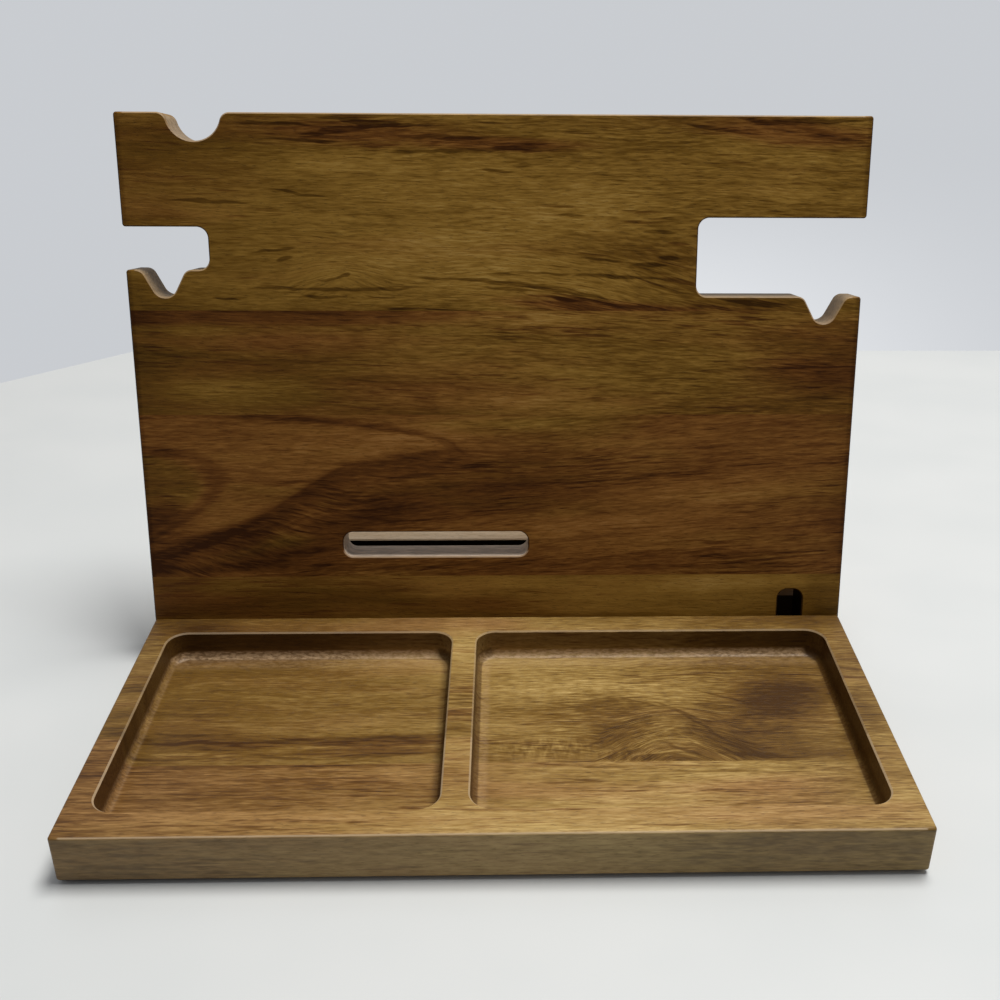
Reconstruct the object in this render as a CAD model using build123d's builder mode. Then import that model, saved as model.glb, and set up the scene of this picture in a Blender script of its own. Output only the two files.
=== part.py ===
"""Free-standing wooden dresser organiser: a two-pocket tray base with a tall panel leaning back.

Millimetres, +Z up, the front faces -Y.  The origin is on the ground under the middle of the base.
The base is glued up from three boards and the panel from four.  The panel stands in an angled groove
in the base and is held by three wood screws from below.  A low rail behind it makes a channel for
charging cables.  Four thin pads keep the base off the table.
"""
from build123d import *
import os
from math import cos, radians, sin, tan

os.makedirs("parts", exist_ok=True)

# Base
base_w = 300.0                  # side to side, the same as the panel
base_d = 206.0                  # front to back
base_t = 19.0
base_corner_r = 1.2             # upright corners
base_ease_r = 1.0               # long edges, sanded
joint_front_y = -51.0           # glue joint between the front and the middle board
joint_back_y = 60.0             # glue joint hidden behind the panel

# Pockets in the base
pocket_left_w = 120.5
pocket_right_w = 149.5
pocket_len = 111.0              # front to back
pocket_depth = 12.5
pocket_corner_r = 8.0           # plan radius left by the cutter
pocket_cove_r = 3.0             # cove between floor and walls
pocket_lip = 0.6                # broken edge round each pocket
rim_front = 13.0
rim_left = 9.4
divider = 10.4

# Back panel, in its own plane: u across, v up the face from the top of the base
panel_h = 210.7
panel_t = 16.8
panel_lean = 12.0               # degrees back from upright
panel_embed = 6.0               # depth of the foot in the groove
panel_foot = 135.2              # front of the base to the panel's face, at the top of the base
panel_corner_r = 1.2
panel_arris = 0.5               # broken edges of both faces
joint_low_v = 19.4
joint_mid_v = 90.4
joint_high_v = 133.6

# Hooks and openings of the panel
top_notch_u = -119.2            # round notch in the top edge
top_notch_r = 10.8
hook_u = 134.9                  # V-notches in the side cut-outs' lower lips
hook_r = 5.0
hook_half_angle = 28.0          # degrees from upright
hook_depth = 11.0
lip_r = 4.0                     # rounded lips of all notches
cut_r = 4.5                     # inner corners of the side cut-outs
left_cut_u = -116.3
left_cut_low = 149.9
left_cut_high = 166.9
right_cut_u = 81.5
right_cut_low = 139.6
right_cut_high = 171.1
slot_w = 79.5
slot_h = 11.1
slot_u = -27.2
slot_v = 33.7
slot_r = 4.2
arch_w = 11.0                   # cable arch in the foot of the panel
arch_h = 12.4
arch_u = 127.9
arch_r = 4.4

# Cable rail behind the panel
rail_front = 166.0              # its front face, behind the front of the base
rail_t = 16.8                   # the same stock as the panel
rail_h = 22.4                   # its top lies just under the slot
rail_inset = 9.4                # in from the base's sides, so cables can leave at the ends
rail_corner_r = 2.0

# Countersunk wood screws, up through the base into the foot of the panel
screw_count = 3
screw_pitch = 105.0
screw_len = 30.0
screw_head_r = 4.0
screw_shank_r = 2.1
screw_smooth = 6.2              # plain shank above the head
screw_shoulder = 1.0            # from the plain shank down to the core
screw_core_r = 1.6
screw_tip_len = 4.0
screw_tip_r = 0.3
head_sunk = 2.4                 # head below the underside
head_play = 0.1
shank_play = 0.2
core_play = 0.05
recess_arm = 1.1                # cross recess of the head
recess_span = 4.2
recess_depth = 1.3

# Anti-slip pads
pad_t = 1.5
pad_r = 7.0
pad_inset = 18.0                # pad's centre in from the base's sides
pad_bevel = 0.4

base_bottom = pad_t
base_top = base_bottom + base_t
front_y = -base_d / 2
pocket_y = front_y + rim_front + pocket_len / 2
pocket_left_x = -base_w / 2 + rim_left + pocket_left_w / 2
pocket_right_x = pocket_left_x + (pocket_left_w + pocket_right_w) / 2 + divider
pocket_floor = base_top - pocket_depth

# The panel's face: local x runs across, local y up the leaning face, local z out of it
out_of_panel = Vector(0, -cos(radians(panel_lean)), sin(radians(panel_lean)))
foot_point = Vector(0, front_y + panel_foot, base_top)
panel_face = Plane(foot_point, x_dir=(1, 0, 0), z_dir=out_of_panel)
up_panel = panel_face.y_dir


def across_panel(height):
    """The plane square to the panel at a height up its face, as a glue joint lies."""
    return Plane(foot_point + up_panel * height, x_dir=(1, 0, 0), z_dir=up_panel)


def at_points(vertices, points):
    """The vertices of a flat sketch that lie at these (u, v) points."""
    spots = [Vector(u, v) for u, v in points]
    return [v for v in vertices if any((Vector(v) - spot).length < 0.2 for spot in spots)]


# Seat of the screws' heads: square to the panel, on its mid-thickness, sunk in the underside
mid_panel = foot_point - out_of_panel * (panel_t / 2)
seat_v = (base_bottom - mid_panel.Z) / up_panel.Z + head_sunk
seat_point = mid_panel + up_panel * seat_v
screw_seat = Plane(seat_point, x_dir=(1, 0, 0), z_dir=up_panel)
drill_down = Plane(seat_point, x_dir=(1, 0, 0), z_dir=-up_panel)

# Blank of the base: an eased slab with two coved pockets, the panel's groove and the screw holes
with BuildPart() as base_blank:
    with BuildSketch(Plane.XY.offset(base_bottom)):
        Rectangle(base_w, base_d)
    extrude(amount=base_t)
    fillet(base_blank.edges().filter_by(Axis.Z), base_corner_r)
    fillet(base_blank.faces().filter_by(Axis.Z).edges(), base_ease_r)
    with BuildSketch(Plane.XY.offset(base_top)):
        with Locations((pocket_left_x, pocket_y)):
            RectangleRounded(pocket_left_w, pocket_len, pocket_corner_r)
        with Locations((pocket_right_x, pocket_y)):
            RectangleRounded(pocket_right_w, pocket_len, pocket_corner_r)
    extrude(amount=-pocket_depth, mode=Mode.SUBTRACT)
    floors = base_blank.faces().filter_by_position(Axis.Z, pocket_floor, pocket_floor)
    fillet(floors.edges(), pocket_cove_r)
    top_face = base_blank.faces().filter_by(Axis.Z).sort_by(Axis.Z)[-1]
    chamfer(top_face.inner_wires().edges(), pocket_lip)
    with BuildSketch(panel_face):
        Rectangle(base_w + 2 * base_ease_r, 2 * panel_embed)
    extrude(amount=-panel_t, mode=Mode.SUBTRACT)
    with Locations(drill_down):
        with GridLocations(screw_pitch, 1, screw_count, 1):
            CounterSinkHole(
                screw_shank_r + shank_play,
                screw_head_r + head_play,
                depth=base_t,
                counter_sink_angle=90,
            )

# The base's three boards
with BuildPart() as base_front:
    add(base_blank.part)
    split(bisect_by=Plane.XZ.offset(-joint_front_y), keep=Keep.TOP)

with BuildPart() as base_middle:
    add(base_blank.part)
    split(bisect_by=Plane.XZ.offset(-joint_front_y), keep=Keep.BOTTOM)
    split(bisect_by=Plane.XZ.offset(-joint_back_y), keep=Keep.TOP)

with BuildPart() as base_back:
    add(base_blank.part)
    split(bisect_by=Plane.XZ.offset(-joint_back_y), keep=Keep.BOTTOM)

# Rail glued on the base; charging cables run in the channel between it and the panel
with BuildPart() as cable_rail:
    with BuildSketch(Plane.XY.offset(base_top)):
        with Locations((0, front_y + rail_front)):
            Rectangle(base_w - 2 * rail_inset, rail_t, align=(Align.CENTER, Align.MIN))
    extrude(amount=rail_h)
    fillet(cable_rail.edges().filter_by(Axis.Z), rail_corner_r)
    chamfer(cable_rail.faces().sort_by(Axis.Z)[-1].edges(), panel_arris)

# Blank of the panel: its outline with hooks, slot and cable arch, then every arris broken
hook_point = hook_r / sin(radians(hook_half_angle)) - hook_r
hook_half_w = (hook_depth + hook_point) * tan(radians(hook_half_angle))
past_edge = 2 * cut_r           # how far a cutting profile runs past the panel's edge

with BuildPart() as panel_blank:
    with BuildSketch(panel_face) as outline:
        with Locations((0, (panel_h - panel_embed) / 2)):
            Rectangle(base_w, panel_h + panel_embed)
        with Locations((top_notch_u, panel_h)):
            Circle(top_notch_r, mode=Mode.SUBTRACT)
        with Locations((left_cut_u, left_cut_low)):
            RectangleRounded(
                base_w / 2 + left_cut_u + past_edge,
                left_cut_high - left_cut_low,
                cut_r,
                align=(Align.MAX, Align.MIN),
                mode=Mode.SUBTRACT,
            )
        with Locations((right_cut_u, right_cut_low)):
            RectangleRounded(
                base_w / 2 - right_cut_u + past_edge,
                right_cut_high - right_cut_low,
                cut_r,
                align=(Align.MIN, Align.MIN),
                mode=Mode.SUBTRACT,
            )
        for centre, lip in ((-hook_u, left_cut_low), (hook_u, right_cut_low)):
            with BuildLine():
                Polyline(
                    (centre - hook_half_w, lip),
                    (centre, lip - hook_depth - hook_point),
                    (centre + hook_half_w, lip),
                    close=True,
                )
            make_face(mode=Mode.SUBTRACT)
        hook_bottoms = [
            (-hook_u, left_cut_low - hook_depth - hook_point),
            (hook_u, right_cut_low - hook_depth - hook_point),
        ]
        fillet(at_points(outline.vertices(), hook_bottoms), hook_r)
        lips = [
            (-hook_u - hook_half_w, left_cut_low),
            (-hook_u + hook_half_w, left_cut_low),
            (hook_u - hook_half_w, right_cut_low),
            (hook_u + hook_half_w, right_cut_low),
            (top_notch_u - top_notch_r, panel_h),
            (top_notch_u + top_notch_r, panel_h),
        ]
        fillet(at_points(outline.vertices(), lips), lip_r)
        outer_corners = [
            (-base_w / 2, panel_h),
            (base_w / 2, panel_h),
            (-base_w / 2, left_cut_low),
            (-base_w / 2, left_cut_high),
            (base_w / 2, right_cut_low),
            (base_w / 2, right_cut_high),
        ]
        fillet(at_points(outline.vertices(), outer_corners), panel_corner_r)
        with Locations((slot_u, slot_v)):
            RectangleRounded(slot_w, slot_h, slot_r, mode=Mode.SUBTRACT)
        with Locations((arch_u, arch_h)):
            RectangleRounded(
                arch_w,
                arch_h + panel_embed + 2 * arch_r,
                arch_r,
                align=(Align.CENTER, Align.MAX),
                mode=Mode.SUBTRACT,
            )
    extrude(amount=-panel_t)
    chamfer(panel_blank.faces().filter_by(panel_face).edges(), panel_arris)

# The panel's four boards, glued edge to edge
with BuildPart() as panel_bottom:
    add(panel_blank.part)
    split(bisect_by=across_panel(joint_low_v), keep=Keep.BOTTOM)
    with BuildSketch(screw_seat):
        with GridLocations(screw_pitch, 1, screw_count, 1):
            Circle(screw_core_r + core_play)
    extrude(amount=screw_len + core_play, mode=Mode.SUBTRACT)

with BuildPart() as panel_lower:
    add(panel_blank.part)
    split(bisect_by=across_panel(joint_low_v), keep=Keep.TOP)
    split(bisect_by=across_panel(joint_mid_v), keep=Keep.BOTTOM)

with BuildPart() as panel_middle:
    add(panel_blank.part)
    split(bisect_by=across_panel(joint_mid_v), keep=Keep.TOP)
    split(bisect_by=across_panel(joint_high_v), keep=Keep.BOTTOM)

# The right hook cuts through the top glue joint, so the hook's tip is an offcut of the top board
with BuildPart() as hook_tip:
    add(panel_blank.part)
    split(bisect_by=across_panel(joint_high_v), keep=Keep.TOP)
    split(bisect_by=across_panel(right_cut_low + lip_r), keep=Keep.BOTTOM)
    split(bisect_by=Plane.YZ.offset(hook_u), keep=Keep.TOP)

with BuildPart() as panel_upper:
    add(panel_blank.part)
    split(bisect_by=across_panel(joint_high_v), keep=Keep.TOP)
    add(hook_tip.part, mode=Mode.SUBTRACT)

# One screw, turned about its own axis, then set in the three seats
screw_head_h = screw_head_r - screw_shank_r
with BuildPart() as screw:
    with BuildSketch(Plane.XZ):
        with BuildLine():
            Polyline(
                (0, 0),
                (screw_head_r, 0),
                (screw_shank_r, screw_head_h),
                (screw_shank_r, screw_head_h + screw_smooth),
                (screw_core_r, screw_head_h + screw_smooth + screw_shoulder),
                (screw_core_r, screw_len - screw_tip_len),
                (screw_tip_r, screw_len),
                (0, screw_len),
                close=True,
            )
        make_face()
    revolve(axis=Axis.Z)
    with BuildSketch(Plane.XY):
        Rectangle(recess_span, recess_arm)
        Rectangle(recess_arm, recess_span)
    extrude(amount=recess_depth, taper=12, mode=Mode.SUBTRACT)

with BuildPart() as screws:
    with Locations(screw_seat):
        with GridLocations(screw_pitch, 1, screw_count, 1):
            add(screw.part)

# Four round anti-slip pads, stuck to the underside near its corners
pad_x = base_w / 2 - pad_inset
pad_y = base_d / 2 - pad_inset
pads = {}
for side, x in (("left", -pad_x), ("right", pad_x)):
    for end, y in (("front", -pad_y), ("back", pad_y)):
        with BuildPart() as pad:
            with BuildSketch():
                with Locations((x, y)):
                    Circle(pad_r)
            extrude(amount=pad_t)
            chamfer(pad.edges().sort_by(Axis.Z)[0], pad_bevel)
        pads[f"pad_{end}_{side}"] = pad

pieces = {
    "base_front": base_front,
    "base_middle": base_middle,
    "base_back": base_back,
    "cable_rail": cable_rail,
    "panel_bottom": panel_bottom,
    "panel_lower": panel_lower,
    "panel_middle": panel_middle,
    "panel_upper": panel_upper,
    "hook_tip": hook_tip,
    "screws": screws,
    **pads,
}
for name, piece in pieces.items():
    piece.part.label = name
    export_step(piece.part, f"parts/{name}.step")
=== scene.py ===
"""Dresser organiser stand: a two-pocket tray base with a notched panel leaning back in it.

The wood is edge-glued acacia with an oiled finish. Each board keeps its own grain: broad clouds,
fine strands and short dark lines, all running from side to side, bent round flames and knots.
"""

from math import cos, pi, radians, sin

import bpy
from mathutils import Matrix, Vector


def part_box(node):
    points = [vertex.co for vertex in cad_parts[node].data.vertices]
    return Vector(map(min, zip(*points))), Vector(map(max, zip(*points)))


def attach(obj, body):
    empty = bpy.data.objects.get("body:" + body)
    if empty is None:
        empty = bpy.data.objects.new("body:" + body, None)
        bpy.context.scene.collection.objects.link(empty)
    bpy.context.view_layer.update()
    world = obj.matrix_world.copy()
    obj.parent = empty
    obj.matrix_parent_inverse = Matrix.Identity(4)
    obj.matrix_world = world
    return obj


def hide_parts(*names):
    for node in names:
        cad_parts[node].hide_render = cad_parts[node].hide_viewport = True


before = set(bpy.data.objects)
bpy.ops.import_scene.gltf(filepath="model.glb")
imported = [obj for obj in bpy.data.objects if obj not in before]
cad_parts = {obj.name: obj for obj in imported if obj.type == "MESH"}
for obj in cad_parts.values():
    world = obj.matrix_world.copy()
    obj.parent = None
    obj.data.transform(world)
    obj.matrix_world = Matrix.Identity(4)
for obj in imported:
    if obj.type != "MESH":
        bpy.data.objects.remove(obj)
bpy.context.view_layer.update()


# ---------------------------------------------------------------- middle board of the base
# The wide board that holds most of both pockets and the panel's groove: golden acacia with a knot
# cut through by the front glue joint. It is milled from the top; its pocket walls are darker, with
# painted shade in the coves by the divider, and its coves are rough, with a painted highlight on
# those facing forward. Glued to its neighbours edge to edge.

class Wire:
    """A node's socket. Sums and products written on it add Math nodes to the same tree."""

    def __init__(self, tree, socket):
        self.tree = tree
        self.socket = socket

    def node(self, kind, settings, inputs, output=0):
        """Adds a node: its settings come first, then the values or links of its sockets."""
        made = self.tree.nodes.new(kind)
        for name, value in settings.items():
            if name == "stops":
                ramp = made.color_ramp
                while len(ramp.elements) < len(value):
                    ramp.elements.new(0.5)
                for stop, (place, colour) in zip(ramp.elements, value):
                    stop.position = place
                    stop.color = (*colour, 1)
            else:
                setattr(made, name, value)
        for name, value in inputs.items():
            if isinstance(value, Wire):
                self.tree.links.new(value.socket, made.inputs[name])
            else:
                made.inputs[name].default_value = value
        return Wire(self.tree, made.outputs[output])

    def maths(self, operation, *values):
        return self.node("ShaderNodeMath", {"operation": operation}, dict(enumerate(values)))

    def __add__(self, other):
        return self.maths("ADD", self, other)

    def __sub__(self, other):
        return self.maths("SUBTRACT", self, other)

    def __rsub__(self, other):
        return self.maths("SUBTRACT", other, self)

    def __mul__(self, other):
        return self.maths("MULTIPLY", self, other)

    def __truediv__(self, other):
        return self.maths("DIVIDE", self, other)

    def __pow__(self, other):
        return self.maths("POWER", self, other)

    def __abs__(self):
        return self.maths("ABSOLUTE", self)

    __radd__ = __add__
    __rmul__ = __mul__

    def rise(self, low, high, slope="SMOOTHSTEP"):
        """0 below low, 1 above high and a smooth or a LINEAR step between them."""
        return self.node(
            "ShaderNodeMapRange",
            {"interpolation_type": slope},
            {"Value": self, "From Min": low, "From Max": high},
        )

    def mixed(self, first, second):
        """The first colour where this wire is 0 and the second where it is 1."""
        first_colour, second_colour, mixed_colour = 6, 7, 2  # places of a Mix node's sockets
        inputs = {0: self, first_colour: first, second_colour: second}
        return self.node("ShaderNodeMix", {"data_type": "RGBA"}, inputs, output=mixed_colour)


def board_space(material, tilt, origin):
    """Millimetres along the board, across it, and out of its show face."""
    to_millimetres = 1000
    start = Wire(material.node_tree, None)
    place = start.node("ShaderNodeTexCoord", {}, {}, output=3)
    turn = Matrix.Rotation(tilt, 3, "X")
    shift = -(turn @ (Vector(origin) * to_millimetres))
    scale = (to_millimetres,) * 3
    return start.node(
        "ShaderNodeMapping",
        {"vector_type": "POINT"},
        {"Vector": place, "Location": shift, "Rotation": (tilt, 0, 0), "Scale": scale},
    )


def parts_of(point):
    return [point.node("ShaderNodeSeparateXYZ", {}, {0: point}, output=i) for i in range(3)]


def joined(along, across, out):
    return along.node("ShaderNodeCombineXYZ", {}, {0: along, 1: across, 2: out})


def noise(point, sizes, detail=2.0, rough=0.5, seed=0.0):
    """Smooth noise from about 0.2 to 0.8 whose lumps have these sizes in millimetres."""
    off_axis = (0.5, 0.4, 0.7)  # keeps the noise's own lattice from lying along a board
    scaled = point.node(
        "ShaderNodeMapping",
        {"vector_type": "POINT"},
        {
            "Vector": point,
            "Location": (seed, seed * 0.7, seed * 1.3),
            "Rotation": off_axis,
            "Scale": [1 / size for size in sizes],
        },
    )
    return point.node(
        "ShaderNodeTexNoise",
        {"noise_dimensions": "3D"},
        {"Vector": scaled, "Scale": 1.0, "Detail": detail, "Roughness": rough},
    )


def sway(point, sizes, reach, detail=2.0, rough=0.5, seed=0.0):
    """The same noise brought to both sides of zero, and this much of it."""
    return (noise(point, sizes, detail, rough, seed) - 0.5) * reach


def patch(point, along, across, half_length, half_width, tilt=0.0):
    """A soft oval mark on the show face: 1 in its middle and 0 at its outline."""
    right_through = 10000
    local = point.node(
        "ShaderNodeMapping",
        {"vector_type": "TEXTURE"},
        {
            "Vector": point,
            "Location": (along, across, 0),
            "Rotation": (0, 0, radians(tilt)),
            "Scale": (half_length, half_width, right_through),
        },
    )
    return point.node("ShaderNodeTexGradient", {"gradient_type": "SPHERICAL"}, {"Vector": local}, 1)


def marks(point, *ovals):
    """Several such marks in one. Each is its place, its half length and width, and its tilt."""
    total = patch(point, *ovals[0])
    for oval in ovals[1:]:
        total = total + patch(point, *oval)
    return total


def touched_up(value, point, *changes):
    """Raises or lowers a value of the wood in soft ovals: each change is how much, and where."""
    for amount, *ovals in changes:
        value = value + marks(point, *ovals) * amount
    return value


def wavering(point, reach, seed):
    """The same point moved a little across the board, so that what is drawn with it wavers."""
    along, across, out = parts_of(point)
    return joined(along, across + sway(point, (17, 6, 40), reach, rough=0.6, seed=seed), out)


def oiled_board(
    material, point, ring, tone, red, streaky, golden, ruddy, seed,
    show=(0, 0, 1), gleam=0.28, fine=1.0, broad=1.0, edge_highlight_strength=0.4, wall=None, milled=None,
):
    """Finishes a board: its colour from its grain, its satin oil, and its open pores.

    The grain follows ring. A higher tone is lighter wood, a higher red is ruddier, and a higher
    streaky has more dark lines. The show face looks towards show. Fine and broad are the contrast
    of the fine and the broad grain. Eased edges that face up get a painted highlight, as strong as
    the argument after broad says, and those facing sideways or down get painted shade. Wall is how
    much the walls take on another colour, and which: a colour of their own, painted light or
    painted shade. Milled is where the walls are darkened, partly with painted shade, and where the
    coves are rough and partly lightened with a painted highlight.
    """
    pore_brown = (0.02, 0.007, 0.002, 1)
    dark_wall_and_shade_brown = (0.05, 0.018, 0.003, 1)
    chip_and_highlight_tan = (0.60, 0.40, 0.22, 1)
    edge_painted_shade = (0.03, 0.012, 0.004, 1)
    edge_painted_highlight = (0.60, 0.46, 0.30, 1)

    along, across, out = parts_of(point)
    face = point.node("ShaderNodeTexCoord", {}, {}, output=1)
    to_show = {"operation": "DOT_PRODUCT"}
    facing = abs(face.node("ShaderNodeVectorMath", to_show, {0: face, 1: show}, output=1))
    upright = 1 - facing.rise(0.15, 0.5)
    outer = abs(along).rise(146, 147)
    ends = abs(parts_of(face)[0]).rise(0.6, 0.9) * outer

    grain = joined(along, ring, out)
    clouds = noise(grain, (75, 17, 25), seed=seed)
    bands = noise(grain, (120, 4.0, 6), rough=0.55, seed=seed + 3)
    strands = noise(grain, (11, 1.0, 1.4), rough=0.62, seed=seed + 5)
    bunches = noise(grain, (45, 9, 15), detail=1.0, seed=seed + 7)
    lines = noise(grain, (21, 1.15, 1.7), rough=0.6, seed=seed + 9)
    pores = noise(grain, (2.6, 0.4, 0.5), detail=1.0, seed=seed + 11).rise(0.58, 0.72)
    dashes = noise(grain, (5, 0.6, 0.9), detail=1.0, seed=seed + 19)
    dark = (lines + (bunches - 0.5) * 0.35 + streaky * 0.13).rise(0.60, 0.74)
    tone = tone + ((clouds - 0.5) * 0.7 + (bands - 0.5) * 0.35) * broad
    fine = (1 - ends * 0.75) * fine
    tone = tone + ((strands - 0.5) * 0.6 + (dashes - 0.5) * 0.4 - dark * 0.22) * fine
    slanting = joined(along, ring + out * 0.7, out - across * 0.7)
    end_grain = sway(slanting, (30, 1.5, 12), 0.45, rough=0.6, seed=seed + 23) - 0.08
    tone = tone + end_grain * ends
    red = red + sway(grain, (90, 12, 15), 1.1, seed=seed + 15) + dark * 0.25
    gold_wood = tone.node("ShaderNodeValToRGB", {"stops": golden}, {"Fac": tone})
    red_wood = tone.node("ShaderNodeValToRGB", {"stops": ruddy}, {"Fac": tone})
    wood = red.rise(0.1, 0.9).mixed(gold_wood, red_wood)
    wood = (pores * 0.3).mixed(wood, pore_brown)
    height = strands * 0.6 + dashes * 0.3 - dark * 0.5 - pores * 0.6

    # Eased edges: painted shade on those facing sideways or down, and a painted highlight on those
    # facing up.
    upward = parts_of(face)[2]
    edge = facing.rise(0.3, 0.6) * (1 - facing.rise(0.8, 0.97))
    shadowed = edge * (1 - upward.rise(0.17, 0.3))
    edge_highlight = edge * upward.rise(0.3, 0.5) * (1 - outer)
    if wall:
        strength, colour = wall
        saw_lines = noise(point, (7, 1.4, 1.8), rough=0.6, seed=seed + 17).rise(0.3, 0.7)
        darker = [part * 0.78 for part in colour] + [1]
        lighter = [part * 1.2 for part in colour] + [1]
        sawn = saw_lines.mixed(darker, lighter)
        wood = (upright * (1 - ends) * strength).mixed(wood, sawn)
    if milled:
        dark_walls_and_shade, rough = milled
        # Walls darkened, partly as painted shade; coves rough, and lightened as a painted highlight
        # over their machining specks.
        wood = (dark_walls_and_shade * 0.65).mixed(wood, dark_wall_and_shade_brown)
        chips = noise(point, (2.4, 1.0, 1.0), rough=0.6, seed=seed + 21)
        wood = (rough * (chips.rise(0.32, 0.68) * 0.34 + 0.12)).mixed(wood, chip_and_highlight_tan)
        edge_highlight = edge_highlight * (out + 1.5).rise(0, 0.5)
        height = height + rough * chips * 1.5
        wall_bumps = noise(point, (1.6, 1.6, 9), detail=1.0, seed=seed)
        height = height + dark_walls_and_shade * wall_bumps * 0.8
    # Paints the edge shade and the edge highlight into the colour.
    wood = (shadowed * 0.75).mixed(wood, edge_painted_shade)
    wood = (edge_highlight * edge_highlight_strength).mixed(wood, edge_painted_highlight)

    relief = {"Height": height, "Strength": 0.5, "Distance": 0.00012}
    bump = height.node("ShaderNodeBump", {}, relief)
    gloss = 0.44 + (strands - 0.5) * 0.2 + pores * 0.2 + (clouds - 0.5) * 0.12
    shader = material.node_tree.nodes["Principled BSDF"]
    links = material.node_tree.links
    links.new(wood.socket, shader.inputs["Base Color"])
    links.new(gloss.socket, shader.inputs["Roughness"])
    links.new(bump.socket, shader.inputs["Normal"])
    shader.inputs["IOR"].default_value = 1.45
    shader.inputs["Specular IOR Level"].default_value = gleam


def milled_zones(point):
    """Where the pocket walls are darker, with painted shade by the divider, and where the coves at
    their feet are rough, with a painted highlight where they face forward.
    """
    pocket_depth = 12.5
    x, y, depth = parts_of(point)
    face = point.node("ShaderNodeTexCoord", {}, {}, output=1)
    rightward, backward, upward = parts_of(face)
    steep = 1 - abs(upward).rise(0.15, 0.7)
    within = (1 - abs(x).rise(144, 145)) * y.rise(-96, -95) * (1 - y.rise(26, 27))
    below = 0 - depth
    turned_left = (0 - rightward).rise(0.02, 0.3)
    turned_right = rightward.rise(0.02, 0.3) * x.rise(-20, -10)
    forward = (0 - backward).rise(0.05, 0.5)
    floor = below.rise(pocket_depth - 0.2, pocket_depth)
    # Coves facing forward get most of the painted highlight, and the floor near the back wall some
    # of it.
    cove = below.rise(8.6, 10.2) * (0.3 + forward * 1.3)
    cove = cove * (1 - turned_left) * (1 - turned_right * 0.6)
    rough = (cove * (1 - floor) + y.rise(10, 15) * floor * 0.35) * within
    by_divider = x.rise(-8, -6.5) * (1 - x.rise(-5.5, -3))
    rough = rough + by_divider * below.rise(11, 12.4) * within * 0.5
    lit = below.rise(5.0, 10.0) * forward * 0.6
    # Painted shade in the coves turned sideways, mostly beside the divider, and on the floor left
    # of it.
    shaded = below.rise(7.0, 10.0) * (1 - floor) * (turned_left + turned_right)
    shade_beside_divider = x.rise(-26, -22.5) * (1 - x.rise(-19, -18)) * floor * 0.6
    dark_walls_and_shade = steep * below.rise(0.4, 1.2) * (1 - lit) * (1 - forward * 0.25)
    dark_walls_and_shade = (dark_walls_and_shade + shaded + shade_beside_divider) * within
    return dark_walls_and_shade.maths("MINIMUM", dark_walls_and_shade, 1.15), rough.maths("MINIMUM", rough, 1.7)


def new_finish(name):
    material = bpy.data.materials.new(name)
    material.use_nodes = True
    return material


def dress(material, *nodes):
    """Puts the finish on parts of the frame."""
    for name in nodes:
        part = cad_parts[name]
        part.data.materials.clear()
        part.data.materials.append(material)


base_top_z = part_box("base_middle")[1].z
base_golden = [
    (0.00, (0.060, 0.026, 0.0035)),
    (0.35, (0.155, 0.080, 0.0130)),
    (0.62, (0.310, 0.192, 0.0520)),
    (1.00, (0.560, 0.390, 0.1450)),
]
base_ruddy = [
    (0.00, (0.055, 0.021, 0.0040)),
    (0.35, (0.150, 0.068, 0.0150)),
    (0.62, (0.300, 0.160, 0.0500)),
    (1.00, (0.500, 0.300, 0.1200)),
]

middle_wood = new_finish("base_middle_acacia")
point = board_space(middle_wood, 0.0, (0, 0, base_top_z))
x, y = parts_of(point)[:2]
drawn = wavering(point, 5, 31)

# The rings are pushed towards the front round the knot, and frayed beside it.
wander = sway(point, (60, 22, 60), 7, seed=2)
knot = patch(point, 70, -58, 34, 46) ** 1.3
feather = sway(point, (9, 7, 9), 8, seed=3) * patch(point, 66, -44, 38, 34)
ring = y + wander - knot * 40 + feather

# Dark lobes on both sides of the knot, and a reddish band across the left pocket.
left_lobe = marks(drawn, (50, -25, 27, 17, 6), (44, -38, 20, 12, 10))
right_lobe = marks(drawn, (104, -20, 34, 22, 6), (100, -40, 34, 14, -8), (116, -8, 26, 16, 20))
left_band = marks(drawn, (-116, -37, 34, 6, -3), (-60, -37, 60, 4, 1), (-44, -42, 36, 8, 3))
strokes = marks(
    drawn,
    (-121, -32.5, 23, 1.6, -2), (-117, -37.5, 26, 1.5, -1), (-111, -41.5, 17, 1.8, -3),
    (-83, -37, 22, 1.3), (-46, -35, 34, 2.0, 1), (-84, -46.5, 18, 1.4, -6), (-46, -46, 34, 2.0, 4),
    (73, -19, 17, 1.2, -34), (82, -30, 22, 1.3, -50), (-130, -47.5, 30, 1.2), (96, -26, 24, 1.4, 2),
    (110, -22, 20, 1.2, 4), (104, -34, 20, 1.3, -2), (46, -30, 16, 1.3, 3), (60, -14, 16, 1.1, -20),
    (48, -46, 14, 1.8, 20), (58, -47.5, 16, 1.8, 6), (72, -44, 16, 1.6, -30), (66, -49.5, 24, 1.6),
    (88, -44, 14, 1.5, -44), (100, -48, 24, 1.6, -6), (40, -38, 12, 1.4, 30),
    (92, -10, 18, 1.2, -24),
).rise(0.1, 0.7)
light_strands = marks(
    drawn, (84, -40, 20, 1.2, -48), (79, -41, 18, 1.0, -44), (62, -34, 16, 1.2, 24),
    (70, -37, 14, 1.0, -10), (-60, -41, 50, 1.4, 1), (-118, -45, 30, 2), (66, -45, 18, 1.0, 6),
).rise(0.1, 0.8)
golden_glow = marks(point, (20, 4, 60, 22), (40, -6, 50, 10, -6), (84, -4, 16, 12))
knot_shade = marks(point, (62, -46, 26, 9, 4), (92, -46, 22, 10, -20), (78, -30, 16, 8, -46))

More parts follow.
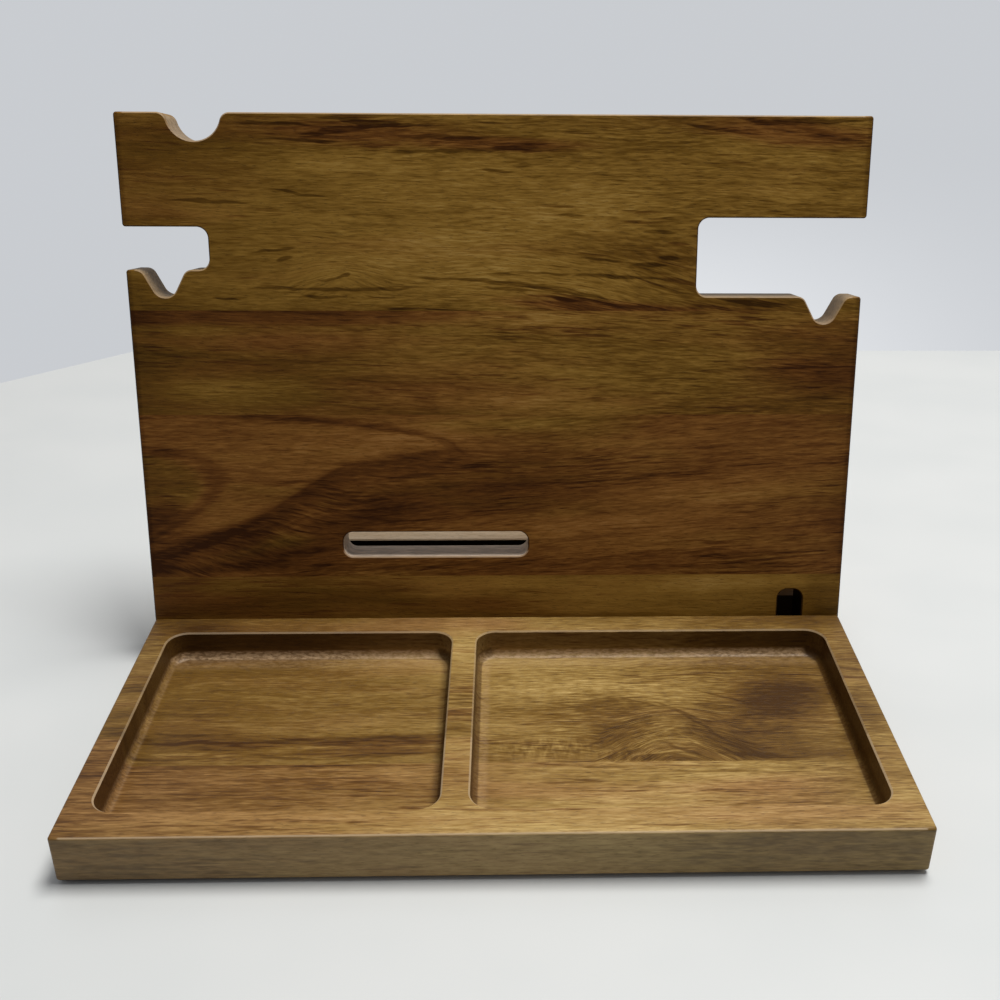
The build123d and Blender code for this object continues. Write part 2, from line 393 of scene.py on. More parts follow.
# Curly figure: small beads left of the knot, and finer curls over most of the right pocket.
beaded = marks(point, (18, -43, 30, 9, 2), (50, -49, 14, 9))
beads = sway(point, (2.2, 6, 20), 1.1, seed=35) * beaded
curly = marks(point, (34, -4, 56, 14, -3), (60, -34, 34, 24)) * 0.6 + 0.15
curls = sway(point, (4.5, 3.5, 20), 0.7, rough=0.6, seed=29) * curly

behind = y.rise(16, 24)
channel_shade_ends = (149.3, 149.7)
# Painted shade in the cable channel behind the panel, stopping just short of the board's ends.
channel_shade = y.rise(43, 46) * (1 - abs(x).rise(*channel_shade_ends))
divider_x = -14.9
rims = abs(x).rise(137, 141) + (1 - abs(x - divider_x).rise(6, 10))
rim_stain = marks(
    drawn, (143, -38, 10, 22), (-143, -36, 12, 5), (-143, -20, 12, 4), (-143, -46, 12, 4),
    (-15, -46, 10, 6), (-15, -28, 10, 5),
)
# The x term lightens the board towards the right: partly its own colour, partly painted falloff of
# the light towards the left.
tone = 0.475 + x / 1000 - left_lobe * 0.2 - right_lobe * 0.2 - left_band * 0.12 - strokes * 0.19
tone = tone + light_strands * 0.16 + golden_glow * 0.09 + beads + curls - knot_shade * 0.2
tone = tone - behind * 0.05 + rims * 0.07 - rim_stain * 0.2 - channel_shade * 0.9
tone = tone - x.rise(66, 104) * (0.16 + y.rise(-40, 20) * 0.08)
tone = touched_up(
    tone, point,
    (0.2, (-12, 22, 78, 40)),
    (-0.2, (-150, 30, 46, 18), (146, 30, 24, 14), (44, -14, 24, 10), (-128, 24, 22, 10)),
    (0.14, (0, -28, 30, 10), (-20, 6, 20, 8), (62, -8, 10, 6)),
    (-0.1, (-100, 16, 60, 14), (-110, -14, 40, 12), (-116, -30, 30, 6)),
    (-0.13, (94, -30, 42, 24), (116, -14, 20, 24), (46, -8, 44, 8), (124, -4, 26, 50)),
    (-0.1, (-90, 16, 30, 10), (0, -48, 12, 6)),
    (0.07, (58, -44, 24, 8)),
)
red = 0.26 + left_lobe * 0.1 + right_lobe * 0.1 + left_band * 0.3 - rim_stain * 0.8
red = red - golden_glow * 0.3
red = touched_up(red, point, (0.4, (-60, 22, 120, 12)), (0.5, (-36, 29, 30, 9), (-3, 28, 20, 9)))
streaky = left_band * 1.2 + rims * 0.5 + patch(point, -20, -30, 60, 40) * 0.4
oiled_board(
    middle_wood, point, ring, tone, red, streaky, base_golden, base_ruddy, seed=4.0,
    fine=0.8 + patch(point, 66, -20, 110, 60), broad=0.5 + x.rise(10, 50) * 0.2, edge_highlight_strength=0.3,
    milled=milled_zones(point),
)
dress(middle_wood, "base_middle")


# ---------------------------------------------------------------- front board of the base
# The lightest board, straight grained and golden, with an orange patch at the left. It carries
# the front rim, and its lower edge floats a pad's thickness over the table.

front_wood = new_finish("base_front_acacia")
point = board_space(front_wood, 0.0, (0, 0, base_top_z))
x, y, depth = parts_of(point)
drawn = wavering(point, 3, 32)
ring = y + sway(point, (160, 30, 60), 4, detail=1.0, seed=8) + depth * 0.2
front_face = 1 - y.rise(-102.9, -102.4)
front_face_brown = (0.255, 0.20, 0.105)
strokes = marks(drawn, (-78, -52, 80, 1.5), (84, -57, 30, 1.1, -3), (40, -54, 24, 1.0, -2))
# The x term lightens the board towards the right: partly its own colour, partly painted falloff of
# the light towards the left.
tone = 0.56 + x / 900 + depth.rise(-2, -0.5) * 0.06 - strokes * 0.3
tone = tone + front_face * (0.03 - x / 1500) - x.rise(60, 150) * (0.14 + y.rise(-75, -52) * 0.12)
tone = touched_up(
    tone, point,
    (-0.08, (-100, -70, 80, 16)),
    (0.2, (8, -99, 90, 18)),
    (-0.16, (-150, -100, 40, 14)),
    (0.08, (-120, -70, 40, 8)),
    (-0.12, (-84, -87, 60, 8)),
    (-0.08, (115, -104, 60, 9)),
)
red = touched_up(0.5 - x / 500, point, (0.5, (110, -85, 60, 20), (100, -66, 40, 10)))
oiled_board(
    front_wood, point, ring, tone, red, 0.3 - x / 400, base_golden, base_ruddy, seed=21.0,
    fine=1.0 + x.rise(0, 60) * 0.25, broad=0.6 + x.rise(0, 60) * 0.3, edge_highlight_strength=0.55,
    wall=(front_face * 0.4, front_face_brown), milled=milled_zones(point),
)
dress(front_wood, "base_front")


# ---------------------------------------------------------------- back board of the base
# The board behind the panel, of plain brown stock, glued to the middle one behind the groove. Its
# front margin is the rest of the cable channel, darkened with painted shade.

back_wood = new_finish("base_back_acacia")
point = board_space(back_wood, 0.0, (0, 0, base_top_z))
x, y, depth = parts_of(point)
ring = y + sway(point, (140, 30, 60), 4, detail=1.0, seed=12) + depth * 0.2
# Painted shade in the cable channel, at this board's front margin.
channel_shade = (1 - y.rise(62.6, 63.2)) * (1 - abs(x).rise(*channel_shade_ends))
oiled_board(
    back_wood, point, ring, x / 2000 + 0.46 - channel_shade * 0.9, x / 900 + 0.3, 0.5 + x / 400,
    base_golden, base_ruddy, seed=33.0,
)
dress(back_wood, "base_back")


# ---------------------------------------------------------------- cable rail
# A plain batten of pale wood with painted sheen, glued on the base behind the panel. Charging
# cables lie in the narrow channel between the two, darkened with painted shade, and leave it at the
# ends.

rail_wood = new_finish("cable_rail_acacia")
point = board_space(rail_wood, 0.0, (0, 0, base_top_z))
x, y, depth = parts_of(point)
ring = y + sway(point, (110, 30, 60), 4, detail=1.0, seed=15) + depth * 0.2
# Pale wood, made paler still as painted sheen of the light from behind on the rail's top.
pale_wood_and_sheen = [
    (0.00, (0.320, 0.210, 0.110)),
    (0.35, (0.590, 0.440, 0.280)),
    (0.62, (0.760, 0.620, 0.440)),
    (1.00, (0.840, 0.720, 0.550)),
]
# Painted shade on the rail's face towards the panel.
face = point.node("ShaderNodeTexCoord", {}, {}, output=1)
to_panel = (0 - parts_of(face)[1]).rise(0.4, 0.8)
channel_painted_shade = (0.006, 0.004, 0.002)
oiled_board(
    rail_wood, point, ring, x / 1500 + 0.5, 0.3 - x / 900, x / 500, pale_wood_and_sheen, pale_wood_and_sheen, seed=37.0,
    fine=0.7, gleam=0.1, wall=(to_panel, channel_painted_shade),
)
dress(rail_wood, "cable_rail")


# ---------------------------------------------------------------- foot board of the panel
# A narrow plain board of olive-gold wood at the bottom of the panel. The cable arch is sawn in it,
# painted shade darkens its inside, and its foot is glued in the base's groove.

lean = radians(12)
panel_turn = lean - radians(90)
panel_out = (0, -cos(lean), sin(lean))
foot = (0, 0.0322, base_top_z)
panel_gleam = 0.1
# Where the painted shade along the panel boards' rounded ends lies.
end_shade_span = (147.3, 149)
panel_golden = [
    (0.00, (0.050, 0.0215, 0.0020)),
    (0.35, (0.170, 0.0830, 0.0105)),
    (0.62, (0.330, 0.1800, 0.0320)),
    (1.00, (0.560, 0.3500, 0.0950)),
]
panel_ruddy = [
    (0.00, (0.045, 0.0135, 0.0020)),
    (0.35, (0.148, 0.0540, 0.0095)),
    (0.62, (0.275, 0.1180, 0.0240)),
    (1.00, (0.470, 0.2350, 0.0700)),
]
foot_wood = new_finish("panel_foot_acacia")
point = board_space(foot_wood, panel_turn, foot)
u, v = parts_of(point)[:2]
ring = v + sway(point, (150, 30, 60), 3, detail=1.0, seed=5)
# The (v - 10) / 120 term darkens the board towards its foot: painted shade where the panel meets
# the base.
tone = 0.33 + u.rise(-160, 60) * 0.12 + (v - 10) / 120 - u.rise(110, 150) * 0.08
tone = tone - u.rise(130, 142) * 0.15
tone = touched_up(
    tone, point,
    (-0.08, (-80, 8, 40, 9)),
    (0.1, (50, 12, 100, 16)),
    (-0.1, (-40, 6, 20, 14), (2, 4, 34, 14)),
    (0.13, (90, 12, 30, 24)),
)
arch_middle = 127.9
# Painted shade inside the cable arch.
arch_shade = 1 - abs(u - arch_middle).rise(9, 11)
arch_painted_shade = (0.006, 0.003, 0.002)
oiled_board(
    foot_wood, point, ring, tone, 0.3 - u / 700, 0 - u / 300, panel_golden, panel_ruddy, seed=41.0,
    show=panel_out, gleam=panel_gleam, fine=0.5, edge_highlight_strength=0.0, wall=(arch_shade * 0.95, arch_painted_shade),
)
dress(foot_wood, "panel_bottom")


# ---------------------------------------------------------------- third board of the panel
# A wide reddish board with a flame: its orange field runs to a dark tip at the middle, with a
# smaller flame inside at the left. The shelf slot is cut through it.

flame_wood = new_finish("panel_flame_acacia")
point = board_space(flame_wood, panel_turn, foot)
u, v = parts_of(point)[:2]
drawn = wavering(point, 4, 36)
wander = sway(point, (34, 14, 60), 5, seed=6)

# The flame lies between an upper and a lower line that meet in its tip. Both are measured from
# the tip to the left, and inside is above zero within the flame.
tip_u, tip_v = -18, 76
before = tip_u - u
back = before.maths("MAXIMUM", before, 0.0)
bent = back.maths("MAXIMUM", back - 47, 0.0)
above = tip_v + back ** 0.5 * 1.55 - v - wander * 0.3
over = v + wander * 0.3 - tip_v + back * 0.16 + bent * 0.21 + back.rise(45, 87) * 8.3
past = u - tip_u
inside = above.maths("SMOOTH_MIN", above, over, 1.5) - past.maths("MAXIMUM", past, 0.0) * 0.4
under = (above - over).rise(-3, 3)
right = u.rise(-20, 60)
low = over.rise(-30, -4) * (1 - over.rise(-4, 0))
ring = v + wander * 0.4 - u * ((1 - over.rise(-30, 0)) * (1 - right) * 0.08 + right * 0.06)
reach = 2.6 + under * 10
outline = (1 - (0 - inside).rise(0, reach)) * (1 - inside.rise(-0.4, 1.4))
outline = outline * (1 - past.rise(-4, 16) * 0.7)
outline = outline * (1 - back.rise(60, 95) * (1 - under) * 0.7)
within = inside.rise(0, 4)

# The smaller flame is a parabola lying on its side, with a dark line round its olive core.
inner_tip_u, inner_tip_v = -117, 62.5
inner = v + wander * 0.5 - inner_tip_v - (u + 121) * 0.24
depth_in = inner_tip_u - u - inner * inner / 13.3
heart = 1 - (abs(depth_in - 2) / 7).rise(0, 1)
core = depth_in.rise(3, 14)

strokes = marks(
    drawn,
    (-8, 69, 7, 1.3), (-114, 40, 20, 2.2, 22), (-128, 33, 26, 2.4, 19), (-84, 88.5, 30, 1.6, -4),
    (-117, 23.5, 44, 3, 3), (-86, 29.5, 24, 3, 9), (90, 23.3, 78, 1.7, 1), (40, 36.5, 32, 1.5, 4),
    (127, 35.5, 11, 1.2, 4), (62, 29, 30, 1.5, 5), (-10, 68.5, 10, 1.4, 5), (61, 63, 14, 1.4, 6),
    (138, 77, 14, 1.3), (92, 76.5, 16, 1.2, 2), (110, 29, 40, 1.3, 3), (-20, 24, 60, 2, 2),
    (-40, 83, 24, 1.2, -11), (-22, 77, 14, 1.4, -20), (-40, 64, 22, 1.2, 8),
).rise(0.1, 0.7)
light_strands = marks(
    drawn,
    (-26, 66, 30, 1.0, 3), (-44, 61, 24, 0.9, 4), (-56, 54.5, 18, 1.0, 5), (-70, 48, 24, 1.2, 14),
    (-90, 41, 26, 1.4, 20), (-30, 58, 26, 0.9, 2), (14, 87, 40, 6), (52, 44, 50, 6, 3),
    (98, 58, 60, 11, 4), (-100, 34, 26, 1.3, 18), (-104, 41, 22, 0.9, 22), (-84, 46, 18, 0.9, 20),
    (-64, 58, 24, 0.9, 10),
).rise(0.1, 0.9)
# Painted shade along the rounded ends of the board.
end_shade = abs(u).rise(*end_shade_span)
tone = 0.34 + within * 0.18 - core * 0.13 - outline * 0.2 - heart * 0.17
tone = tone + right * 0.12 - strokes * 0.16 + light_strands * 0.1
tone = tone - (1 - u.rise(-150, -128)) * 0.09 - u.rise(136, 150) * 0.1 - end_shade * 0.13
tone = touched_up(
    tone, point,
    (-0.15, (14, 60, 46, 15, 5), (-30, 58, 40, 10, 4), (-62, 42, 34, 13, 18), (-98, 31, 30, 8, 12)),
    (-0.2, (-156, 30, 50, 22, 6)),
    (0.12, (10, 86, 110, 10), (0, 28, 70, 12, 4)),
    (0.14, (-42, 80, 44, 12, -4), (-40, 35, 52, 7, 6), (100, 55, 60, 12)),
    (-0.17, (-60, 46, 36, 9, 14), (-142, 45, 18, 12), (-100, 40, 24, 8, 18)),
    (-0.16, (-34, 75, 18, 6), (-42, 44, 26, 10, 10)),
    (0.1, (-22, 84, 24, 9)),
    (0.12, (-112, 20, 32, 7), (-128, 30, 24, 7), (22, 40, 44, 8)),
)
red = touched_up(
    0.78 + outline * 0.4 + heart * 0.3 - core * 0.45, point,
    (-0.5, (-96, 34, 40, 5, 14), (20, 88, 60, 8)),
    (0.7, (108, 80, 50, 14, -6)),
    (0.7, (-60, 46, 36, 9, 14), (-142, 45, 18, 12), (-34, 75, 22, 8), (-42, 44, 26, 10, 10)),
)
# The slot's walls are pale: bare wood, with painted light from behind.
slot_wall_bare_and_lit = (0.60, 0.49, 0.38)
oiled_board(
    flame_wood, point, ring, tone, red, low * 0.6 + right * (1 - v.rise(24, 44)) * 0.8,
    panel_golden, panel_ruddy, seed=52.0,
    show=panel_out, gleam=panel_gleam, broad=0.8, wall=(0.85, slot_wall_bare_and_lit),
)
dress(flame_wood, "panel_lower")


# ---------------------------------------------------------------- second board of the panel
# A mid-brown board with straight fine streaks, darker and redder along its top edge. Its sawn
# walls show in the hooks, paler and greyer: bare wood, with painted light from the room behind.

brown_wood = new_finish("panel_brown_acacia")
point = board_space(brown_wood, panel_turn, foot)
u, v = parts_of(point)[:2]
drawn = wavering(point, 3, 38)
ring = v + u * 0.02 + sway(point, (120, 25, 60), 5, detail=1.0, seed=14)
strokes = marks(
    drawn,
    (-127, 115.5, 30, 1.5, -1), (-90, 113, 40, 1.0, -2), (-60, 105, 30, 1.0, -2),
    (110, 110, 30, 1.2, 1), (130, 97, 24, 1.4, 1), (30, 96, 30, 1.0, 2),
).rise(0.1, 0.7)
seam = v.rise(125, 132) * (1 - u.rise(-60, 20))
# Painted shade along the rounded ends of the board.
end_shade = abs(u).rise(*end_shade_span)
tone = 0.43 - seam * 0.18 - strokes * 0.16 - end_shade * 0.13
tone = tone - (1 - u.rise(-150, -128)) * 0.09 - (1 - u.rise(-146, -110)) * 0.05
tone = touched_up(
    tone, point,
    (0.1, (40, 112, 110, 26), (-100, 103, 50, 6), (0, 130, 50, 8)),
    (-0.12, (150, 122, 50, 14), (140, 104, 40, 12), (-150, 118, 40, 22)),
    (-0.04, (-12, 103, 40, 8)),
    (-0.1, (60, 122, 50, 8)),
    (0.08, (50, 98, 60, 9)),
    (-0.12, (-72, 100, 40, 16), (136, 120, 44, 34), (-44, 92, 28, 7)),
    (0.1, (50, 92, 24, 5), (20, 130, 20, 5)),
)
red = touched_up(
    0.4 + seam * 0.8, point,
    (0.5, (-25, 102, 60, 12), (135, 108, 60, 24), (-80, 122, 80, 6)),
    (-0.5, (60, 108, 70, 14), (-100, 100, 40, 9)),
)
sawn_wall_bare_and_lit = (0.31, 0.235, 0.15)
oiled_board(
    brown_wood, point, ring, tone, red, seam * 0.5 + 0.15, panel_golden, panel_ruddy, seed=63.0,
    show=panel_out, gleam=panel_gleam, fine=0.7 + u.rise(-120, 20) * 0.4, broad=0.8,
    wall=(0.7, sawn_wall_bare_and_lit),
)
dress(brown_wood, "panel_middle")


# ---------------------------------------------------------------- top board of the panel
# The widest show board, olive-gold, with the round notch and the side cut-outs. Dark streaks run
# under its top edge, a small knot sits low at the left, and dark lines fan out at the right. The
# tip outside the right hook is an offcut of the same board.

top_wood = new_finish("panel_top_acacia")
point = board_space(top_wood, panel_turn, foot)
u, v = parts_of(point)[:2]
drawn = wavering(point, 4, 39)
swirl = patch(point, -64, 147, 22, 10)
fan = u.rise(-20, 90) * (1 - v.rise(138, 175))
ring = v + sway(point, (70, 20, 60), 5, seed=17) - swirl * 5 + fan * (u + 20) * 0.13
strokes = marks(
    drawn,
    (-58, 208, 24, 1.4, -3), (-88, 206.5, 26, 1.6, -2), (-76, 200.5, 24, 1.7, -2),
    (-23, 196.5, 36, 1.6, 1), (-68, 203.5, 20, 1.5, 2), (-52, 205.5, 18, 1.3, 2),
    (-39, 206.5, 24, 1.3, -2), (-20, 201.5, 32, 1.6, 1), (-116, 177, 30, 1.2, -3),
    (-80, 180.5, 20, 1.1, -6), (-90, 158, 15, 1.2, 6), (-86, 154, 6, 1.2, 8), (-90, 143, 18, 1.2),
    (-70, 142, 15, 1.2, -3), (-48, 142.3, 22, 1.5, 2), (-71, 139, 15, 1.1, -3),
    (-110, 138.5, 10, 1.2, -5), (-69, 146.5, 7, 1.2, 7), (-62, 148, 4, 1.6, 14),
    (-17, 146.5, 30, 1.4, -4), (6, 197.5, 20, 1.6, 2), (0, 189, 12, 1.1), (86, 206, 24, 1.5, -6),
    (110, 208.5, 24, 1.4, -4), (136, 201.5, 24, 1.6, -5), (132, 209, 26, 1.4, -1),
    (70, 155, 8, 1.7), (62, 152.5, 13, 1.5, -3), (66, 165.5, 12, 1.4, -4), (42, 154.5, 16, 1.1, -3),
    (8, 148.5, 24, 1.2, 1), (50, 147.5, 36, 1.2, -3), (8, 144.5, 26, 1.6, -5),
    (36, 140.3, 20, 1.6, -12), (21, 142.5, 26, 1.3, -9), (34, 138, 26, 1.3, -6),
    (4, 142.5, 18, 1.1, -3), (106, 137, 26, 2.4, -5), (60, 134.5, 24, 1.5, -4),
    (30, 172, 10, 1.0, -2),
).rise(0.3, 0.62)
reddish = marks(
    point, (-60, 204, 80, 8, -1), (8, 199, 44, 4), (40, 135, 60, 4, -4), (120, 204, 50, 8, -4)
)
knot_glow = marks(point, (-66, 147.5, 12, 4), (-56, 149, 8, 3))
# Painted shade along the rounded ends of the board.
end_shade = abs(u).rise(*end_shade_span)
tone = 0.38 + u.rise(-150, 0) * 0.04 - reddish * 0.05 - strokes * 0.3 + knot_glow * 0.12
tone = touched_up(
    tone - end_shade * 0.13, point,
    (0.15, (-10, 174, 150, 40), (10, 168, 90, 26)),
    (-0.08, (70, 172, 46, 20), (-130, 202, 50, 8), (66, 156, 30, 8), (150, 195, 30, 12)),
    (0.07, (-40, 194, 60, 12), (80, 197, 60, 10), (-40, 182, 40, 9)),
    (0.16, (30, 142, 90, 12)),
    (-0.1, (-150, 136, 40, 12), (-104, 200, 60, 9)),
    (0.13, (10, 136, 30, 8), (0, 151, 34, 8), (90, 200, 54, 9)),
)
red = 0.12 + reddish * 0.9 + marks(point, (-145, 190, 60, 30), (90, 133, 90, 8)) * 0.5
streaky = reddish * 0.9 + patch(point, 20, 140, 110, 12) * 0.7
top_edge = v.rise(209, 210)
oiled_board(
    top_wood, point, ring, tone, red, streaky, panel_golden, panel_ruddy, seed=74.0,
    show=panel_out, gleam=panel_gleam, fine=0.7 + u.rise(-130, 0) * 0.45, broad=0.8,
    wall=(0.7 - top_edge * 0.5, sawn_wall_bare_and_lit),
)
dress(top_wood, "panel_upper", "hook_tip")


# ---------------------------------------------------------------- screws under the base
# Three zinc-plated countersunk wood screws with a cross recess come up through the base and hold
# the panel's foot, square to its lean. Each is one turned body with its thread rolled on.

def turned(start, length, steps, sides, radius_at):
    """A closed round body from height 0 up; radius_at gives its radius from height and angle."""
    rod = start.node(
        "GeometryNodeMeshCylinder",
        {"fill_type": "NGON"},
        {"Vertices": sides, "Side Segments": steps, "Radius": 1.0, "Depth": length},
    )
    place = start.node("GeometryNodeInputPosition", {}, {})
    x, y, middle_z = parts_of(place)
    z = middle_z + length / 2
    radius = radius_at(z, y.maths("ARCTAN2", y, x))
    spot = joined(x * radius, y * radius, z)
    return start.node("GeometryNodeSetPosition", {}, {"Geometry": rod, "Position": spot})


def made_by_nodes(name, sizes, shape, material):
    """A piece from a tree whose named inputs are its sizes, turned into a plain mesh."""
    tree = bpy.data.node_groups.new(name, "GeometryNodeTree")
    tree.is_modifier = True
    kinds = {int: "NodeSocketInt", float: "NodeSocketFloat", tuple: "NodeSocketVector"}
    chosen = {}
    for label, value in sizes.items():
        made = tree.interface.new_socket(label, in_out="INPUT", socket_type=kinds[type(value)])
        chosen[made.identifier] = value
    tree.interface.new_socket("Geometry", in_out="OUTPUT", socket_type="NodeSocketGeometry")
    given = tree.nodes.new("NodeGroupInput")
    result = shape({label: Wire(tree, given.outputs[label]) for label in sizes})
    result = result.node("GeometryNodeRealizeInstances", {}, {0: result})
    result = result.node("GeometryNodeSetMaterial", {}, {0: result, "Material": material})
    tree.links.new(result.socket, tree.nodes.new("NodeGroupOutput").inputs[0])
    piece = bpy.data.objects.new(name, bpy.data.meshes.new(name))
    growth = piece.modifiers.new(name, "NODES")
    growth.node_group = tree
    for identifier, value in chosen.items():
        growth[identifier] = value
    bpy.context.scene.collection.objects.link(piece)
    seen = piece.evaluated_get(bpy.context.evaluated_depsgraph_get())
    mesh = bpy.data.meshes.new_from_object(seen)
    piece.modifiers.clear()
    piece.data = mesh
    return piece


def speckled_finish(name, size, dull, bright, roughness, bump_height, metallic):
    """A plain finish with fine specks in its colour, gloss and surface."""
    material = new_finish(name)
    point = board_space(material, 0.0, (0, 0, 0))
    specks = noise(point, size, detail=3.0, rough=0.6, seed=3)
    bump = specks.node(
        "ShaderNodeBump", {}, {"Height": specks, "Strength": 0.6, "Distance": bump_height}
    )
    shader = material.node_tree.nodes["Principled BSDF"]
    links = material.node_tree.links
    colour = specks.rise(0.3, 0.7).mixed((*dull, 1), (*bright, 1))
    links.new(colour.socket, shader.inputs["Base Color"])
    links.new((specks * 0.3 + roughness).socket, shader.inputs["Roughness"])
    links.new(bump.socket, shader.inputs["Normal"])
    shader.inputs["Metallic"].default_value = metallic
    return material


def screw_row(size):
    """One threaded screw, its cross recess cut out, set in a row square to the panel."""
    length, pitch = size["Length"], size["Thread pitch"]
    thread_start, thread_full, thread_fades, thread_end = 0.0086, 0.0100, 0.0280, 0.0298
    tip_taper = 0.0013
    recess_long, recess_wide, recess_deep = 0.0046, 0.00095, 0.0028

    def radius_at(z, angle):
        cone = size["Head radius"] - size["Shank radius"]
        head = size["Head radius"] - z.maths("MINIMUM", z, cone)
        shoulder = z.rise(size["Smooth length"], size["Smooth length"] + 0.001, "LINEAR")
        tip = z.rise(length - size["Tip length"], length, "LINEAR")
        thinner = shoulder * (size["Shank radius"] - size["Core radius"])
        core = head - thinner - tip * tip_taper
        turns = z / pitch - angle / (2 * pi)
        crest = 1 - turns.maths("PINGPONG", turns, 0.5) * 2
        threaded = z.rise(thread_start, thread_full) * (1 - z.rise(thread_fades, thread_end))
        return core + crest ** 2.0 * threaded * size["Thread height"]

    screw = turned(length, length, 200, 32, radius_at)
    for arm in ((recess_long, recess_wide), (recess_wide, recess_long)):
        cutter = length.node("GeometryNodeMeshCube", {}, {"Size": (*arm, recess_deep)})
        screw = length.node(
            "GeometryNodeMeshBoolean",
            {"operation": "DIFFERENCE", "solver": "EXACT"},
            {"Mesh 1": screw, "Mesh 2": cutter},
        )
    step = joined(size["Spacing"], length * 0, length * 0)
    seats = {"Count": size["Count"], "Start Location": size["First seat"], "Offset": step}
    row = length.node("GeometryNodeMeshLine", {}, seats)
    placed = {"Points": row, "Instance": screw, "Rotation": (-lean, 0, 0)}
    return length.node("GeometryNodeInstanceOnPoints", {}, placed)


screw_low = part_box("screws")[0]
head_radius = 0.004
seat_y = screw_low.y + head_radius * cos(lean)
seat_z = screw_low.z + head_radius * sin(lean)
zinc = speckled_finish(
    "screw_zinc", (0.4, 2.5, 0.4), (0.50, 0.49, 0.45), (0.76, 0.75, 0.70),
    roughness=0.2, bump_height=0.00002, metallic=1.0,
)
screws = made_by_nodes(
    "wood_screws",
    {
        "Count": 3,
        "Spacing": 0.105,
        "First seat": (-0.105, seat_y, seat_z),
        "Length": 0.030,
        "Head radius": head_radius,
        "Shank radius": 0.0021,
        "Smooth length": 0.0081,
        "Core radius": 0.0016,
        "Tip length": 0.004,
        "Thread pitch": 0.0018,
        "Thread height": 0.0005,
    },
    screw_row,
    zinc,
)
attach(screws, "root")
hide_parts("screws")


# ---------------------------------------------------------------- pads under the base
# Four thin discs of soft black rubber with a rounded lower edge, stuck on near the corners of the
# base. They lift it off the table and keep it from sliding.

def pad_set(size):
    """One pad set at the four corners of a rectangle."""
    radius, thick = size["Radius"], size["Thickness"]

    def radius_at(z, angle):
        short = 1 - z.rise(0, size["Rounding"], "LINEAR")
        return radius - short ** 2.0 * size["Rounding"]

    pad = turned(thick, thick, 16, 48, radius_at)
    apart = {"Size X": size["Width apart"], "Size Y": size["Depth apart"]}
    corners = radius.node(
        "GeometryNodeMeshGrid", {}, {**apart, "Vertices X": 2, "Vertices Y": 2}
    )
    return radius.node("GeometryNodeInstanceOnPoints", {}, {"Points": corners, "Instance": pad})


pad_low, pad_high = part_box("pad_front_left")
pad_middle = (pad_low + pad_high) / 2
rubber = speckled_finish(
    "pad_rubber", (0.5, 0.5, 0.5), (0.010, 0.010, 0.011), (0.034, 0.034, 0.036),
    roughness=0.55, bump_height=0.00005, metallic=0.0,
)
pads = made_by_nodes(
    "rubber_pads",
    {
        "Radius": (pad_high.x - pad_low.x) / 2,
        "Thickness": pad_high.z - pad_low.z,
        "Rounding": 0.0004,
        "Width apart": -2 * pad_middle.x,
        "Depth apart": -2 * pad_middle.y,
    },
    pad_set,
    rubber,
)
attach(pads, "root")
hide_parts("pad_front_left", "pad_front_right", "pad_back_left", "pad_back_right")


# ---------------------------------------------------------------- table, light and camera
# A smooth white table that ends in front of a pale wall, a broad ceiling light over the right
# shoulder of the panel, and the room's own pale glow.

table_mesh = bpy.data.meshes.new("table")
far_edge = 0.441
corners = [(-1.6, -1.6), (1.8, -1.6), (1.8, far_edge), (-0.275, far_edge), (-1.6, -0.75)]
corners = [(x, y, 0) for x, y in corners]
table_mesh.from_pydata(corners, [], [range(len(corners))])
table = bpy.data.objects.new("table", table_mesh)
bpy.context.scene.collection.objects.link(table)
table_paint = new_finish("white_table")
point = board_space(table_paint, 0.0, (0, 0, 0))
mottle = noise(point, (90, 60, 60), seed=61)
table_shader = table_paint.node_tree.nodes["Principled BSDF"]
table_links = table_paint.node_tree.links
dull_white, clean_white = (0.640, 0.660, 0.658, 1), (0.662, 0.678, 0.674, 1)
table_colour = mottle.rise(0.3, 0.7).mixed(dull_white, clean_white)
table_links.new(table_colour.socket, table_shader.inputs["Base Color"])
table_links.new((mottle * 0.2 + 0.35).socket, table_shader.inputs["Roughness"])
table_mesh.materials.append(table_paint)

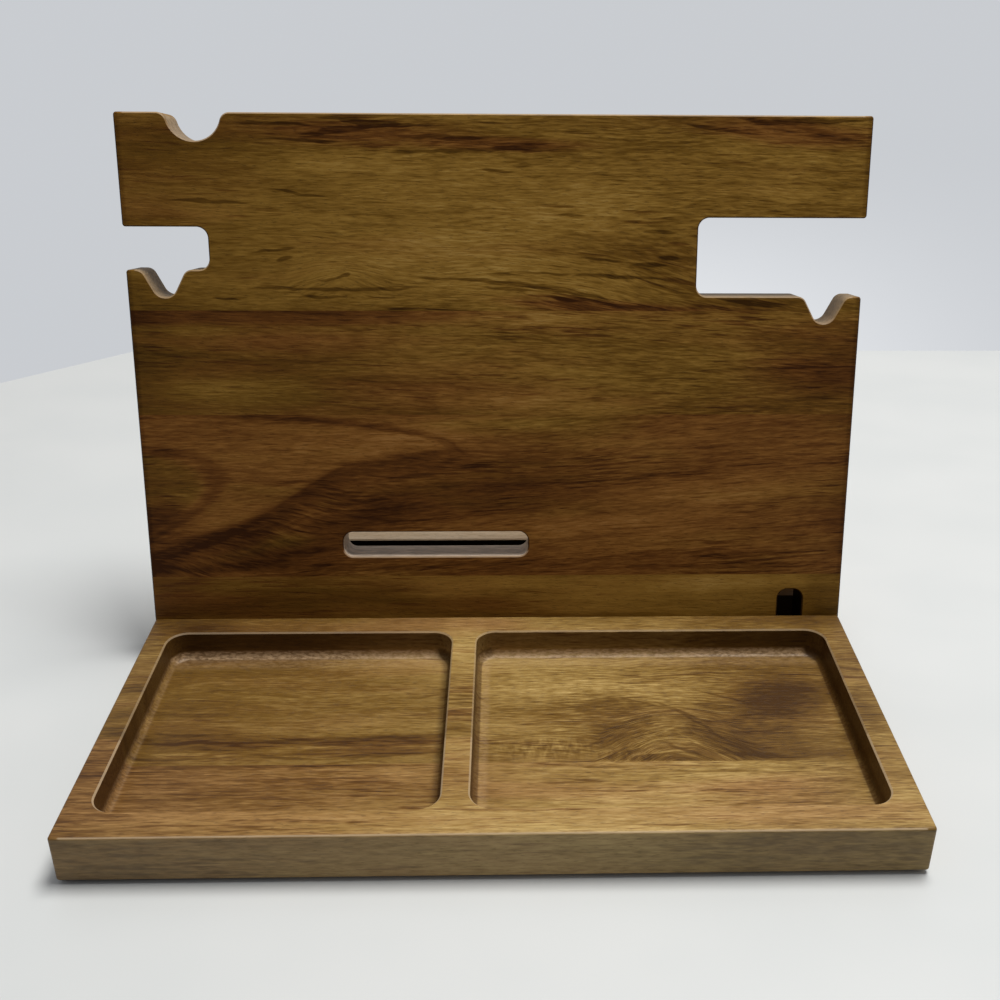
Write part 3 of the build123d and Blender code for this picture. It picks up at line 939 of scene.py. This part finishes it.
world = bpy.data.worlds.new("room")
world.use_nodes = True
bpy.context.scene.world = world
room = Wire(world.node_tree, None)
seen = room.node("ShaderNodeLightPath", {}, {}, output=0)
way = room.node("ShaderNodeTexCoord", {}, {}, output=0)
side, forth, above = parts_of(way)
glow = 0.10 + forth.rise(-0.3, 1.0) * 0.28 + above.rise(0, 1) * 0.15
light = room.node("ShaderNodeCombineColor", {}, {0: glow, 1: glow * 1.01, 2: glow * 1.04})
low_wall = (1 - abs(side - 0.12).rise(0.0, 0.42)) * (1 - above.rise(-0.35, -0.15))
wall_grey, wall_lit = (0.585, 0.605, 0.635, 1), (0.80, 0.82, 0.85, 1)
wall = low_wall.mixed(wall_grey, wall_lit)
backdrop = seen.mixed(light, wall)
world.node_tree.links.new(backdrop.socket, world.node_tree.nodes["Background"].inputs["Color"])

lamp_data = bpy.data.lights.new("ceiling_light", "AREA")
lamp_data.shape = "RECTANGLE"
lamp_data.size, lamp_data.size_y = 0.8, 0.6
lamp_data.energy = 34
lamp_data.color = (1.0, 0.985, 0.96)
lamp = bpy.data.objects.new("ceiling_light", lamp_data)
lamp.location = (0.38, 0.16, 1.82)
stand_middle = Vector((0, 0, 0))
lamp.rotation_euler = (stand_middle - lamp.location).to_track_quat("-Z", "Y").to_euler()
bpy.context.scene.collection.objects.link(lamp)

camera_data = bpy.data.cameras.new("camera")
camera_data.sensor_width = 36
camera_data.lens = 42.086
camera_data.shift_x = -0.0428  # the photograph's middle is a little beside the lens's axis
camera = bpy.data.objects.new("camera", camera_data)
bpy.context.scene.collection.objects.link(camera)
yaw, pitch, roll = 0.031249, 0.465409, 0.010870
forward = Vector((sin(yaw) * cos(pitch), cos(yaw) * cos(pitch), -sin(pitch)))
right = Vector((cos(yaw), -sin(yaw), 0))
up = right.cross(forward)
axis_x = cos(roll) * right + sin(roll) * up
axis_y = cos(roll) * up - sin(roll) * right
facing = Matrix((axis_x, axis_y, -forward)).transposed().to_4x4()
lens_place = (0.00481, -0.40427, 0.29748)
camera.matrix_world = Matrix.Translation(lens_place) @ facing
bpy.context.scene.camera = camera
bpy.context.scene.view_settings.view_transform = "Standard"
